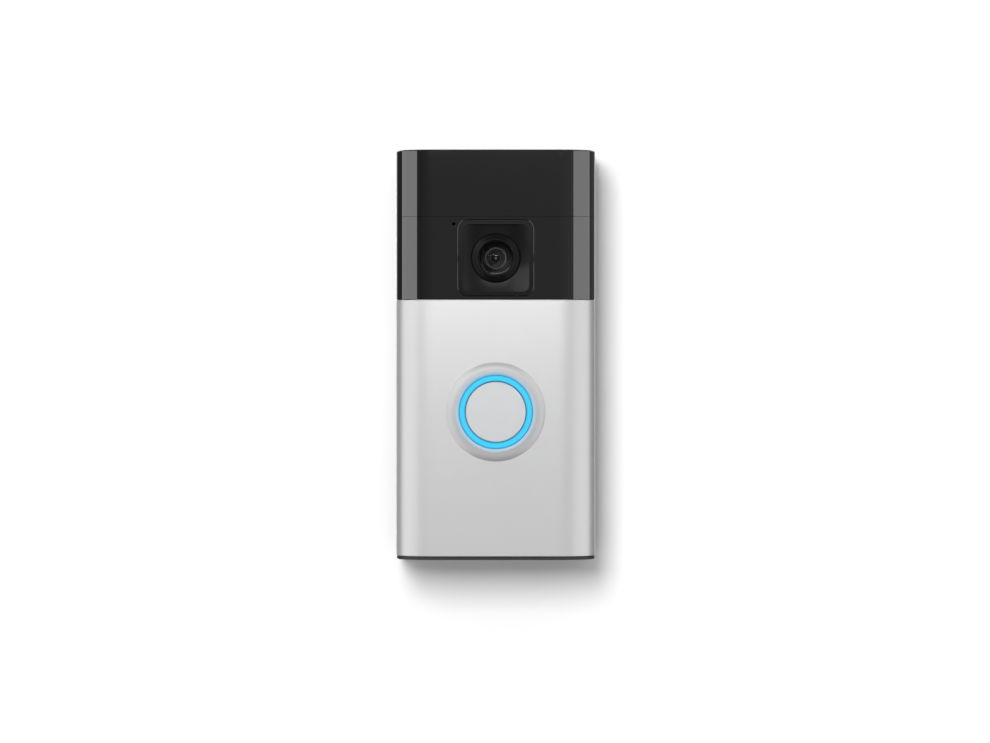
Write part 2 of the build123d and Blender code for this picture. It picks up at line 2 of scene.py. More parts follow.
# # A video doorbell, from camera to screw heads
# The doorbell hangs on a wall bracket. Its shell, boards, battery and joints come from the
# frame, which fixes every size and place. This lesson adds the looks: the light, the wall,
# the finishes of every part, and the small pieces that only matter to the eye.
# We start by loading the frame, and a helper reads the box that each part fills.

# %% Load the frame
import bpy
import math
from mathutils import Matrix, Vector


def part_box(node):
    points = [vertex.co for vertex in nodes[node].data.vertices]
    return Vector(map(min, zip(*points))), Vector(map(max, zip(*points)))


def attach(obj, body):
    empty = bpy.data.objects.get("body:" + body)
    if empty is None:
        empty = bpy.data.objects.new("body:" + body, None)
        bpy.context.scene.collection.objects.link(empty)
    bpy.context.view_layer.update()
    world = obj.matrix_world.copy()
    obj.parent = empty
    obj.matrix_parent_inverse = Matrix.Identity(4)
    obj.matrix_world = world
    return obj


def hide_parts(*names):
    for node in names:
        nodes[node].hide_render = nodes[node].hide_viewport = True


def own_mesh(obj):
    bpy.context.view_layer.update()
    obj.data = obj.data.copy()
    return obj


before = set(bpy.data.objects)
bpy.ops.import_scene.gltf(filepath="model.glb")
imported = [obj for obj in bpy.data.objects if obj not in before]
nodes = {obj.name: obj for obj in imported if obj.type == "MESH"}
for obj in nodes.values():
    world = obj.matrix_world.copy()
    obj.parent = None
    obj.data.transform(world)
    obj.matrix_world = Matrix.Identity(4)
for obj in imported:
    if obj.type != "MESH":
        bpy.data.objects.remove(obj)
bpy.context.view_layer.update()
MM = 0.001

# %% [markdown]
# ## The camera
# A long lens from arm's length keeps the upright edges parallel. It looks straight at the
# wall, a little below the doorbell's middle, so we need no turn other than lying it level.

# %% Camera
FRONT_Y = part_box("motion_window")[0].y
CAMERA_DISTANCE = 0.9
CAMERA_DROP = 5.2 * MM
CAMERA_LEFT = 0.25 * MM
lens = bpy.data.cameras.new("Camera")
lens.sensor_width = 36.0
lens.lens = 105.8
camera = bpy.data.objects.new("Camera", lens)
camera.location = (-CAMERA_LEFT, FRONT_Y - CAMERA_DISTANCE, -CAMERA_DROP)
camera.rotation_euler = (math.radians(90), 0, 0)
bpy.context.scene.collection.objects.link(camera)
bpy.context.scene.camera = camera
print("camera stands", round(-camera.location.y, 3), "m from the wall")

# %% [markdown]
# ## Helpers for node trees
# Every finish below is a small graph of nodes. Adding and wiring each node by hand would take
# most of the lesson, so a few helpers do it: they start a material, add a node with its
# settings, do sums, and mix or ramp colours.


# %% Node helpers
def start_material(name):
    """A new material, its node tree and its Principled shader."""
    material = bpy.data.materials.new(name)
    material.use_nodes = True
    return material, material.node_tree, material.node_tree.nodes["Principled BSDF"]


def add_node(tree, kind, **settings):
    """A node of that kind; a setting named after an input sets the input's value."""
    node = tree.nodes.new(kind)
    for key, value in settings.items():
        if hasattr(node, key):
            setattr(node, key, value)
        else:
            node.inputs[key.replace("_", " ").title()].default_value = value
    return node


def math_node(tree, operation, first, second):
    """A Math node; each operand is a socket or a number."""
    node = tree.nodes.new("ShaderNodeMath")
    node.operation = operation
    for place, value in enumerate((first, second)):
        if isinstance(value, (int, float)):
            node.inputs[place].default_value = value
        else:
            tree.links.new(value, node.inputs[place])
    return node.outputs[0]


def ramp(tree, source, stops):
    """A colour ramp over (position, colour) stops."""
    node = tree.nodes.new("ShaderNodeValToRGB")
    node.color_ramp.elements[0].position = stops[0][0]
    node.color_ramp.elements[0].color = stops[0][1]
    node.color_ramp.elements[1].position = stops[-1][0]
    node.color_ramp.elements[1].color = stops[-1][1]
    for position, colour in stops[1:-1]:
        node.color_ramp.elements.new(position).color = colour
    tree.links.new(source, node.inputs["Fac"])
    return node.outputs["Color"]


def mix_colours(tree, mask, low, high):
    """A colour that goes from low to high as the mask goes from 0 to 1."""
    node = tree.nodes.new("ShaderNodeMix")
    node.data_type = "RGBA"
    tree.links.new(mask, node.inputs[0])
    for place, value in ((6, low), (7, high)):
        if isinstance(value, tuple):
            node.inputs[place].default_value = value
        else:
            tree.links.new(value, node.inputs[place])
    return node.outputs[2]


def bump_from(tree, height, strength, distance):
    """A Bump node over a height; distance is the depth of the relief in metres."""
    node = add_node(tree, "ShaderNodeBump", strength=strength, distance=distance)
    tree.links.new(height, node.inputs["Height"])
    return node.outputs["Normal"]


print("helpers for nodes are ready")

# %% [markdown]
# ## Shared surface effects
# Three effects turn up on almost every part. Grain is the fine texture that a mould or a
# blasting nozzle leaves. Wear lightens the edges that hands and tools rub. Dust is a sprinkle
# of specks with soft, cloudy smears. Each could be rebuilt inside every material, but a node
# group is built once and placed wherever it is needed, with that material's own values.


# %% Group helpers
def start_group(name, numbers, outputs):
    """A node group with float inputs, given with their usual values, and float outputs."""
    group = bpy.data.node_groups.new(name, "ShaderNodeTree")
    for key, value in numbers.items():
        socket = group.interface.new_socket(key, in_out="INPUT", socket_type="NodeSocketFloat")
        socket.default_value = value
    for key in outputs:
        group.interface.new_socket(key, in_out="OUTPUT", socket_type="NodeSocketFloat")
    return group, group.nodes.new("NodeGroupInput"), group.nodes.new("NodeGroupOutput")


def use_group(tree, group, **values):
    """A group placed in a material with its own values."""
    node = tree.nodes.new("ShaderNodeGroup")
    node.node_tree = group
    for key, value in values.items():
        node.inputs[key.replace("_", " ").title()].default_value = value
    return node


print("helpers for groups are ready")

# %% [markdown]
# ### Grain
# A mould's texture is finer than a millimetre, and no two patches of it are quite alike. One
# noise and one cell pattern make the relief, and a slow noise makes the patches.


# %% Grain group
def build_grain():
    """Fine relief from a noise and cells of the same scale, and a slow patchy variation."""
    numbers = {"Fine Scale": 9000.0, "Patch Scale": 60.0}
    group, given, result = start_group("grain", numbers, ["Height", "Patch"])
    place = group.nodes.new("ShaderNodeTexCoord")
    fine = add_node(group, "ShaderNodeTexNoise", detail=3.0, roughness=0.6)
    cells = add_node(group, "ShaderNodeTexVoronoi", feature="SMOOTH_F1")
    patch = add_node(group, "ShaderNodeTexNoise", detail=4.0, roughness=0.55)
    for node in (fine, cells, patch):
        group.links.new(place.outputs["Object"], node.inputs["Vector"])
    group.links.new(given.outputs["Fine Scale"], fine.inputs["Scale"])
    group.links.new(given.outputs["Fine Scale"], cells.inputs["Scale"])
    group.links.new(given.outputs["Patch Scale"], patch.inputs["Scale"])
    pits = math_node(group, "MULTIPLY", cells.outputs["Distance"], 0.5)
    height = math_node(group, "ADD", fine.outputs["Fac"], pits)
    group.links.new(height, result.inputs["Height"])
    group.links.new(patch.outputs["Fac"], result.inputs["Patch"])
    return group


GRAIN = build_grain()
print("group:", GRAIN.name)

# %% [markdown]
# ### Worn edges
# Edges catch hands and tools, and rub lighter. The Bevel node rounds the normal near an edge,
# so where it parts from the true normal there is an edge. Noise breaks the line up.


# %% Wear group
def build_wear():
    """A mask that is 1 on convex and concave edges, broken up by noise."""
    group, given, result = start_group("edge_wear", {"Reach": 0.0003, "Amount": 0.5}, ["Mask"])
    rounded = add_node(group, "ShaderNodeBevel", samples=6)
    plain = group.nodes.new("ShaderNodeNewGeometry")
    group.links.new(given.outputs["Reach"], rounded.inputs["Radius"])
    facing = group.nodes.new("ShaderNodeVectorMath")
    facing.operation = "DOT_PRODUCT"
    group.links.new(rounded.outputs["Normal"], facing.inputs[0])
    group.links.new(plain.outputs["Normal"], facing.inputs[1])
    parting = math_node(group, "SUBTRACT", 1.0, facing.outputs["Value"])
    edge = math_node(group, "MULTIPLY", parting, 6.0)
    place = group.nodes.new("ShaderNodeTexCoord")
    noise = add_node(group, "ShaderNodeTexNoise", scale=900.0, detail=4.0)
    group.links.new(place.outputs["Object"], noise.inputs["Vector"])
    broken = math_node(group, "MULTIPLY", edge, noise.outputs["Fac"])
    worn = math_node(group, "MULTIPLY", broken, given.outputs["Amount"])
    group.links.new(math_node(group, "MINIMUM", worn, 1.0), result.inputs["Mask"])
    return group


WEAR = build_wear()
print("group:", WEAR.name)

# %% [markdown]
# ### Dust
# Dust gathers in clouds and not evenly. Small cells make the specks, and a soft cloud decides
# which of them show and where the surface is smeared.


# %% Dust group
def build_dust():
    """Sparse specks about 0.1 mm across, and a soft cloud for smears."""
    numbers = {"Speck Scale": 700.0, "Amount": 0.5}
    group, given, result = start_group("dust", numbers, ["Specks", "Smears"])
    place = group.nodes.new("ShaderNodeTexCoord")
    specks = add_node(group, "ShaderNodeTexVoronoi", feature="F1")
    cloud = add_node(group, "ShaderNodeTexNoise", scale=45.0, detail=5.0, roughness=0.65)
    group.links.new(place.outputs["Object"], specks.inputs["Vector"])
    group.links.new(place.outputs["Object"], cloud.inputs["Vector"])
    group.links.new(given.outputs["Speck Scale"], specks.inputs["Scale"])
    near = math_node(group, "LESS_THAN", specks.outputs["Distance"], 0.045)
    chosen = math_node(group, "GREATER_THAN", cloud.outputs["Fac"], 0.52)
    speck = math_node(group, "MULTIPLY", near, chosen)
    shown = math_node(group, "MULTIPLY", speck, given.outputs["Amount"])
    smear = math_node(group, "MULTIPLY", cloud.outputs["Fac"], given.outputs["Amount"])
    group.links.new(shown, result.inputs["Specks"])
    group.links.new(smear, result.inputs["Smears"])
    return group


DUST = build_dust()
print("group:", DUST.name)

# %% [markdown]
# ## One way to build a solid finish
# Metal, plastic and rubber differ in numbers, not in kind: two close tones that wander over
# the surface, a roughness that wanders too, fine relief, and edges that have rubbed lighter.
# So one function builds them all, and each finish is a call with its own values.


# %% Finish builder
def finish_for(name, dark, light, worn, roughness, fine_scale, relief, metallic=0.0, wear=0.5,
               dust=0.0, patch=60.0, spread=0.06, specular=0.5, ior=1.5):
    """A solid finish; colours are linear RGB, relief is the grain's depth in metres."""
    material, tree, shader = start_material(name)
    grain = use_group(tree, GRAIN, fine_scale=fine_scale, patch_scale=patch)
    edges = use_group(tree, WEAR, reach=EDGE_REACH, amount=wear)
    specks = use_group(tree, DUST, amount=dust)
    tone = mix_colours(tree, grain.outputs["Patch"], (*dark, 1), (*light, 1))
    tone = mix_colours(tree, edges.outputs["Mask"], tone, (*worn, 1))
    tone = mix_colours(tree, specks.outputs["Specks"], tone, DUST_TONE)
    tree.links.new(tone, shader.inputs["Base Color"])
    centred = math_node(tree, "SUBTRACT", grain.outputs["Patch"], 0.5)
    wander = math_node(tree, "MULTIPLY", centred, 2 * spread)
    smeared = math_node(tree, "MULTIPLY", specks.outputs["Smears"], SMEAR_ROUGHNESS)
    rough = math_node(tree, "ADD", math_node(tree, "ADD", wander, roughness), smeared)
    tree.links.new(rough, shader.inputs["Roughness"])
    tree.links.new(bump_from(tree, grain.outputs["Height"], 1.0, relief), shader.inputs["Normal"])
    shader.inputs["Metallic"].default_value = metallic
    shader.inputs["IOR"].default_value = ior
    shader.inputs["Specular IOR Level"].default_value = specular
    return material


EDGE_REACH = 0.25 * MM
DUST_TONE = (0.32, 0.31, 0.29, 1)
SMEAR_ROUGHNESS = 0.06
print("finishes share an edge reach of", EDGE_REACH / MM, "mm")

# %% [markdown]
# ### Dressing the frame
# The parts that came with the frame keep their shapes, and only their material changes. We
# note each part that we dress, so that we can ask at the end whether one was missed.

# %% Dress helper
dressed = set()


def dress(material, *names):
    """Give CAD nodes a material in their own slot."""
    dressed.update(names)
    for name in names:
        slots = nodes[name].material_slots
        if slots:
            slots[0].material = material
        else:
            nodes[name].data.materials.append(material)
    print(material.name, "on", ", ".join(names))


print(len(nodes), "nodes wait for a finish")

# %% [markdown]
# ## Satin nickel
# The lower cover and the cap are plated and then blasted, which leaves a soft, even sheen. A
# fully metallic shader would mirror the room and go dark, so this one is only partly metallic.

# %% Cap and faceplate
NICKEL = [(0.488, 0.488, 0.487), (0.503, 0.503, 0.502), (0.58, 0.58, 0.57), 0.32, 8000, 0.0012 * MM]
dress(finish_for("satin_nickel_cap", *NICKEL, metallic=0.35, wear=0.12, spread=0.006), "button_cap")
satin = finish_for("satin_nickel", *NICKEL, metallic=0.35, wear=0.12, spread=0.006)
dress(satin, "faceplate")

# %% [markdown]
# ### The boss round the button
# The raised boss is blasted a little rougher than the flat round it, and painted shade darkens it. We
# mix both in by the distance from the button's axis, so that they fade out at the boss's foot.


# %% Boss
def radius_from(tree, height):
    """Distance from the depth axis that runs through the given height."""
    place = tree.nodes.new("ShaderNodeTexCoord")
    flat = add_node(tree, "ShaderNodeMapping", vector_type="POINT")
    flat.inputs["Location"].default_value = (0, 0, -height)
    flat.inputs["Scale"].default_value = (1, 0, 1)
    tree.links.new(place.outputs["Object"], flat.inputs["Vector"])
    away = tree.nodes.new("ShaderNodeVectorMath")
    away.operation = "LENGTH"
    tree.links.new(flat.outputs["Vector"], away.inputs[0])
    return away.outputs["Value"]


BUTTON_Z = sum(corner.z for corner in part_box("ring_diffuser")) / 2
BOSS_OUT = 15.4 * MM
BOSS_FADE = 0.84
BOSS_ROUGHER = 0.30
# The boss's darker tone is painted shade; its rougher blast is a real finish.
BOSS_PAINTED_SHADE = (0.36, 0.36, 0.36, 1)
tree = satin.node_tree
shader = tree.nodes["Principled BSDF"]
share = math_node(tree, "DIVIDE", radius_from(tree, BUTTON_Z), BOSS_OUT)
fade = tree.nodes.new("ShaderNodeMapRange")
fade.inputs["From Min"].default_value = 1.0
fade.inputs["From Max"].default_value = BOSS_FADE
tree.links.new(share, fade.inputs["Value"])
on_boss = fade.outputs["Result"]
flat_roughness = shader.inputs["Roughness"].links[0].from_socket
rougher = math_node(tree, "MULTIPLY", on_boss, BOSS_ROUGHER)
tree.links.new(math_node(tree, "ADD", flat_roughness, rougher), shader.inputs["Roughness"])
# Painted shade darkens the boss, fading out at its foot.
flat_tone = shader.inputs["Base Color"].links[0].from_socket
tree.links.new(mix_colours(tree, on_boss, flat_tone, BOSS_PAINTED_SHADE), shader.inputs["Base Color"])
print("boss reaches", round(BOSS_OUT / MM, 1), "mm from the button's axis")

# %% [markdown]
# ## Black covers and mouldings
# The upper covers are polished like a piano lid, and the shell and the bracket are textured
# mouldings. All are black, so only their roughness and relief tell them apart.

# %% Black covers and mouldings
dress(finish_for("piano_black", (0.0045, 0.0045, 0.005), (0.0055, 0.0055, 0.006), (0.012, 0.012, 0.013),
                 0.035, 2500, 0.0001 * MM, wear=0.1, spread=0.004, specular=1.0, ior=1.6),
      "motion_window", "camera_cover")
dress(finish_for("housing_black", (0.010, 0.010, 0.011), (0.014, 0.014, 0.015), (0.035, 0.035, 0.036),
                 0.42, 5000, 0.008 * MM, wear=0.4, dust=0.3),
      "rear_housing")
dress(finish_for("bracket_black", (0.012, 0.012, 0.013), (0.018, 0.018, 0.019), (0.05, 0.05, 0.05),
                 0.55, 3200, 0.02 * MM, wear=0.5, dust=0.5),
      "mounting_bracket")
dress(finish_for("bezel_black", (0.006, 0.006, 0.0065), (0.008, 0.008, 0.0085), (0.02, 0.02, 0.021),
                 0.19, 7000, 0.0006 * MM, wear=0.1, spread=0.02, specular=0.13),
      "camera_bezel")
dress(finish_for("barrel_black", (0.0025, 0.0025, 0.002), (0.0045, 0.0044, 0.0035), (0.010, 0.0095, 0.009),
                 0.24, 6000, 0.001 * MM, wear=0.1, spread=0.03, specular=0.08),
      "lens_barrel", "lens_retainer")

# %% [markdown]
# ## Plastics and rubber of the inside
# The inner parts show when the faceplate is pulled off or the unit tilts off its bracket.
# They get the same care: charcoal mouldings, matte silicone, foam, and moulded epoxy.

# %% Inner plastics and rubber
dress(finish_for("charcoal_moulding", (0.020, 0.020, 0.022), (0.030, 0.030, 0.032), (0.07, 0.07, 0.07),
                 0.50, 4200, 0.015 * MM, wear=0.5, dust=0.2),
      "front_housing", "button_carrier", "battery_cradle", "speaker_frame")
silicone = finish_for("silicone_grey", (0.035, 0.036, 0.038), (0.05, 0.051, 0.053), (0.08, 0.08, 0.08),
                      0.75, 2600, 0.01 * MM, wear=0.2, dust=0.4, specular=0.3)
dress(silicone, "housing_gasket", "camera_seal", "button_membrane")
dress(finish_for("seal_black", (0.004, 0.004, 0.004), (0.006, 0.006, 0.006), (0.01, 0.01, 0.01),
                 0.8, 5000, 0.004 * MM, wear=0.1, specular=0.1),
      "microphone_seal", "microphone")
dress(finish_for("closed_cell_foam", (0.025, 0.025, 0.027), (0.045, 0.045, 0.047), (0.06, 0.06, 0.06),
                 0.9, 1800, 0.08 * MM, wear=0.1, specular=0.1),
      "battery_pad", "speaker_gasket")
dress(finish_for("natural_white", (0.66, 0.65, 0.60), (0.74, 0.73, 0.69), (0.82, 0.81, 0.78),
                 0.38, 5200, 0.006 * MM, wear=0.3, dust=0.1),
      "fresnel_insert", "switch_plunger", "setup_plunger", "battery_plug", "battery_socket")
dress(finish_for("signal_orange", (0.78, 0.20, 0.02), (0.90, 0.27, 0.03), (0.95, 0.42, 0.12),
                 0.36, 4200, 0.006 * MM, wear=0.5, dust=0.2),
      "setup_button")
dress(finish_for("moulded_epoxy", (0.010, 0.010, 0.011), (0.016, 0.016, 0.017), (0.05, 0.05, 0.05),
                 0.48, 7000, 0.006 * MM, wear=0.4),
      "processor", "doorbell_switch", "setup_switch", "usb_tongue", "image_sensor", "speaker_cone")
dress(finish_for("infrared_epoxy", (0.010, 0.004, 0.008), (0.016, 0.006, 0.012), (0.04, 0.02, 0.03),
                 0.12, 6000, 0.001 * MM, wear=0.2),
      "infrared_leds", "ambient_light_sensor")
dress(finish_for("ferrite_grey", (0.030, 0.030, 0.033), (0.050, 0.050, 0.054), (0.12, 0.12, 0.12),
                 0.6, 3600, 0.01 * MM, wear=0.6),
      "power_coils")
dress(finish_for("silicone_red", (0.36, 0.018, 0.014), (0.45, 0.025, 0.020), (0.55, 0.08, 0.06),
                 0.5, 2600, 0.006 * MM, wear=0.3),
      "battery_lead")

# %% [markdown]
# ## Metals of the inside
# Springs and shields are plated steel, screws are bright nickel, and contacts are brass or
# copper. Real metal takes its colour from its reflections, so these are fully metallic.

# %% Inner metals
dress(finish_for("plated_steel", (0.52, 0.52, 0.53), (0.60, 0.60, 0.61), (0.72, 0.72, 0.72),
                 0.30, 3200, 0.003 * MM, metallic=1.0, wear=0.6, dust=0.1),
      "latch_arm", "shield_can", "usb_shell")
dress(finish_for("bright_nickel", (0.62, 0.60, 0.56), (0.68, 0.66, 0.62), (0.80, 0.79, 0.76),
                 0.18, 2600, 0.001 * MM, metallic=1.0, wear=0.6, dust=0.1),
      "housing_screws", "terminal_screws", "pir_sensors", "speaker_magnet")
dress(finish_for("plated_brass", (0.62, 0.43, 0.17), (0.70, 0.50, 0.22), (0.85, 0.70, 0.42),
                 0.26, 2600, 0.002 * MM, metallic=1.0, wear=0.6),
      "terminal_plates")
dress(finish_for("copper_foil", (0.66, 0.30, 0.16), (0.74, 0.36, 0.20), (0.85, 0.55, 0.38),
                 0.28, 2200, 0.002 * MM, metallic=1.0, wear=0.4),
      "wifi_antenna")
dress(finish_for("foil_pouch", (0.36, 0.37, 0.39), (0.44, 0.45, 0.47), (0.56, 0.57, 0.58),
                 0.34, 500, 0.05 * MM, metallic=1.0, wear=0.3, patch=90.0, spread=0.08),
      "battery_cell")

# %% [markdown]
# ## Circuit boards
# A board is glass fibre under green solder mask, with copper tracks beneath it and bare gold
# pads. Square-edged cells draw both: the lines between cells are tracks, their middles pads.

# %% Circuit boards
material, tree, shader = start_material("solder_mask")
place = tree.nodes.new("ShaderNodeTexCoord")
tracks = add_node(tree, "ShaderNodeTexVoronoi", distance="MANHATTAN", feature="F2",
                  scale=420.0, randomness=0.35)
tree.links.new(place.outputs["Object"], tracks.inputs["Vector"])
DARK = (0, 0, 0, 1)
FULL = (1, 1, 1, 1)
lines = ramp(tree, tracks.outputs["Distance"], [(0.62, DARK), (0.66, FULL), (0.70, DARK)])
pads = add_node(tree, "ShaderNodeTexVoronoi", distance="CHEBYCHEV", scale=260.0)
tree.links.new(place.outputs["Object"], pads.inputs["Vector"])
pad_mask = math_node(tree, "LESS_THAN", pads.outputs["Distance"], 0.09)
mask_tone = mix_colours(tree, lines, (0.004, 0.045, 0.022, 1), (0.012, 0.10, 0.05, 1))
tone = mix_colours(tree, pad_mask, mask_tone, (0.62, 0.45, 0.20, 1))
tree.links.new(tone, shader.inputs["Base Color"])
tree.links.new(pad_mask, shader.inputs["Metallic"])
grain = use_group(tree, GRAIN, fine_scale=3000, patch_scale=80)
tree.links.new(math_node(tree, "ADD", 0.16, math_node(tree, "MULTIPLY", grain.outputs["Patch"], 0.2)),
               shader.inputs["Roughness"])
tree.links.new(bump_from(tree, lines, 0.6, 0.02 * MM), shader.inputs["Normal"])
dress(material, "main_board", "rear_board", "sensor_board", "led_board", "pir_board")

# %% [markdown]
# ## The lit ring
# Lamps behind a translucent ring make it glow. The glow is strongest halfway across the ring
# and weaker at its two edges, so the emission follows the distance from the button's axis.

# %% Light ring
RING_IN = 9.5 * MM
RING_OUT = 11.4 * MM
material, tree, shader = start_material("lit_ring")
off_middle = math_node(tree, "SUBTRACT", radius_from(tree, BUTTON_Z), (RING_IN + RING_OUT) / 2)
share = math_node(tree, "DIVIDE", math_node(tree, "ABSOLUTE", off_middle, 0), (RING_OUT - RING_IN) / 2)
CORE = (0.045, 0.62, 0.98, 1)
SHOULDER = (0.042, 0.58, 0.93, 1)
EDGE = (0.025, 0.30, 0.50, 1)
glow = ramp(tree, share, [(0.0, CORE), (0.55, SHOULDER), (1.0, EDGE)])
tree.links.new(glow, shader.inputs["Emission Color"])
shader.inputs["Emission Strength"].default_value = 1.0
shader.inputs["Base Color"].default_value = (0.005, 0.02, 0.03, 1)
shader.inputs["Roughness"].default_value = 0.4
shader.inputs["Specular IOR Level"].default_value = 0.2
grain = use_group(tree, GRAIN, fine_scale=6000)
tree.links.new(bump_from(tree, grain.outputs["Height"], 1.0, 0.002 * MM), shader.inputs["Normal"])
dress(material, "ring_diffuser")

# %% [markdown]
# ### Behind the ring
# Twelve small lamps with yellow phosphor shine into a clear acrylic guide. Both show only when
# the faceplate is off, but the lamps are lit, so they get an emission too.

# %% Lamps and light guide
material, tree, shader = start_material("phosphor_lamps")
grain = use_group(tree, GRAIN, fine_scale=6000, patch_scale=900)
tree.links.new(mix_colours(tree, grain.outputs["Patch"], (0.70, 0.66, 0.36, 1), (0.85, 0.82, 0.60, 1)),
               shader.inputs["Base Color"])
shader.inputs["Emission Color"].default_value = (0.20, 0.75, 1.0, 1)
shader.inputs["Emission Strength"].default_value = 1.5
dress(material, "ring_leds")
material, tree, shader = start_material("clear_acrylic")
grain = use_group(tree, GRAIN, fine_scale=2500, patch_scale=300)
tree.links.new(mix_colours(tree, grain.outputs["Patch"], (0.82, 0.90, 0.95, 1), (0.90, 0.96, 0.99, 1)),
               shader.inputs["Base Color"])
tree.links.new(bump_from(tree, grain.outputs["Height"], 1.0, 0.004 * MM), shader.inputs["Normal"])
shader.inputs["Roughness"].default_value = 0.18
shader.inputs["Transmission Weight"].default_value = 0.85
dress(material, "light_guide")

# %% [markdown]
# ## Lens glass
# Camera glass carries a thin coating that swallows most reflections. Thin films aren't worth
# tracing here: a lower index of refraction leaves as little glare, and we tint what is left.


# %% Lens glass
def coated_glass(name, tint, ior):
    """Clear glass; its coating leaves so little glare that a low index stands in for it."""
    material, tree, shader = start_material(name)
    grain = use_group(tree, GRAIN, fine_scale=1500, patch_scale=400)
    tree.links.new(mix_colours(tree, grain.outputs["Patch"], (0.90, 0.93, 0.91, 1), (0.96, 0.98, 0.97, 1)),
                   shader.inputs["Base Color"])
    shader.inputs["Roughness"].default_value = 0.015
    shader.inputs["Transmission Weight"].default_value = 1.0
    shader.inputs["IOR"].default_value = ior
    shader.inputs["Specular Tint"].default_value = tint
    return material


dress(coated_glass("dome_glass", (0.9, 1.0, 0.95, 1), 1.08), "lens_dome")
dress(coated_glass("element_glass", (0.9, 0.9, 1.0, 1), 1.03), "lens_element_middle", "lens_element_rear")
dress(coated_glass("filter_glass", (1.0, 0.6, 0.7, 1), 1.3), "infrared_filter", "pir_filters")

# %% [markdown]
# ## The lens baffle
# Behind the front element sits a stepped black cone that keeps stray light off the sensor.
# Seen from the front, its steps, with highlights painted on them, are the fine rings around the pupil.
# We start from a circle of edges, extrude it again and again, scale and move each new ring, and close the
# last one.


# %% Lens baffle
def turned(name, height, profile, closed):
    """A round piece about a depth axis at the given height; profile is (radius, depth) points.

    A closed profile joins its last point to its first. An open one gets a face over its last ring.
    """
    bpy.ops.object.select_all(action="DESELECT")
    radius, depth = profile[0]
    bpy.ops.mesh.primitive_circle_add(vertices=TURNED_SIDES, radius=radius, location=(0, -depth, height),
                                      rotation=(math.radians(90), 0, 0))
    piece = bpy.context.object
    piece.name = name
    bpy.ops.object.transform_apply(location=True, rotation=True, scale=True)
    bpy.ops.object.mode_set(mode="EDIT")
    bpy.ops.mesh.select_all(action="SELECT")
    for next_radius, next_depth in profile[1:] + profile[:1] * closed:
        bpy.ops.mesh.extrude_region_move()
        scale = next_radius / radius
        bpy.ops.transform.resize(value=(scale, 1, scale), center_override=(0, -depth, height))
        bpy.ops.transform.translate(value=(0, depth - next_depth, 0))
        radius, depth = next_radius, next_depth
    if closed:
        bpy.ops.mesh.select_all(action="SELECT")
        bpy.ops.mesh.remove_doubles(threshold=SAME_POINT)
    else:
        bpy.ops.mesh.edge_face_add()
    bpy.ops.mesh.select_all(action="SELECT")
    bpy.ops.mesh.normals_make_consistent(inside=False)
    bpy.ops.object.mode_set(mode="OBJECT")
    bpy.ops.object.shade_smooth_by_angle(angle=math.radians(30))
    return piece


TURNED_SIDES = 96
SAME_POINT = 0.002 * MM
dome_low, dome_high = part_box("lens_dome")
CAMERA_Z = (dome_low.z + dome_high.z) / 2
DOME_BACK = -dome_high.y
# (radius, depth behind the dome), in millimetres, from the rim to the pupil
baffle_steps = [
    (4.4, 0.3), (3.25, 0.55), (3.2, 0.4), (3.0, 0.4), (2.9, 0.8), (1.7, 1.05), (1.6, 0.95),
    (1.45, 0.95), (1.3, 1.3), (0.95, 1.5), (0.7, 1.3), (0.35, 1.18), (0.05, 1.14),
]
BAFFLE_OUT = baffle_steps[0][0] * MM
baffle_steps = [(radius * MM, DOME_BACK - behind * MM) for radius, behind in baffle_steps]
baffle = turned("lens_baffle", CAMERA_Z, baffle_steps, closed=False)
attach(baffle, "unit")
print("baffle has", len(baffle.data.polygons), "faces, and its middle looks along",
      tuple(round(part) for part in baffle.data.polygons[-1].normal))

# %% [markdown]
# ### The baffle's tones
# The cone is black. Its steps carry a painted sheen, their edges thin painted highlight lines, and a
# painted glint on the pupil's glass makes a pale dot in the middle. A ramp over the distance from the lens
# axis sets them all.

# %% Baffle finish
material, tree, shader = start_material("baffle_black")
BLACK = (0.002, 0.002, 0.002, 1)
# Painted light: a sheen on the steps, highlight lines at their edges and a glint in the middle.
PAINTED_STEP_SHEEN = (0.0075, 0.0077, 0.008, 1)
PAINTED_RING_LINE = (0.032, 0.033, 0.034, 1)
PAINTED_GLINT = (0.26, 0.26, 0.265, 1)
# The ramp lays the painted highlights out by distance from the lens axis.
rings = [(0.0, PAINTED_GLINT), (0.08, PAINTED_STEP_SHEEN), (0.22, BLACK), (0.31, BLACK), (0.33, PAINTED_RING_LINE), (0.37, PAINTED_STEP_SHEEN),
         (0.66, PAINTED_STEP_SHEEN), (0.70, PAINTED_RING_LINE), (0.735, PAINTED_RING_LINE), (0.76, BLACK), (1.0, BLACK)]
share = math_node(tree, "DIVIDE", radius_from(tree, CAMERA_Z), BAFFLE_OUT)
tone = ramp(tree, share, rings)
grain = use_group(tree, GRAIN, fine_scale=9000, patch_scale=500)
cloudy = math_node(tree, "MULTIPLY", grain.outputs["Patch"], 0.25)
tree.links.new(mix_colours(tree, cloudy, tone, BLACK), shader.inputs["Base Color"])
tree.links.new(bump_from(tree, grain.outputs["Height"], 1.0, 0.001 * MM), shader.inputs["Normal"])
shader.inputs["Roughness"].default_value = 0.35
shader.inputs["Specular IOR Level"].default_value = 0.04
baffle.data.materials.append(material)
print("nodes left undressed:", sorted(set(nodes) - dressed))

# %% [markdown]
# ## The membrane under the button
# A silicone membrane pushes the cap back out. Its foot stays on the carrier and its crown goes
# in with the cap, so it can't move as one rigid thing. We turn its profile here.

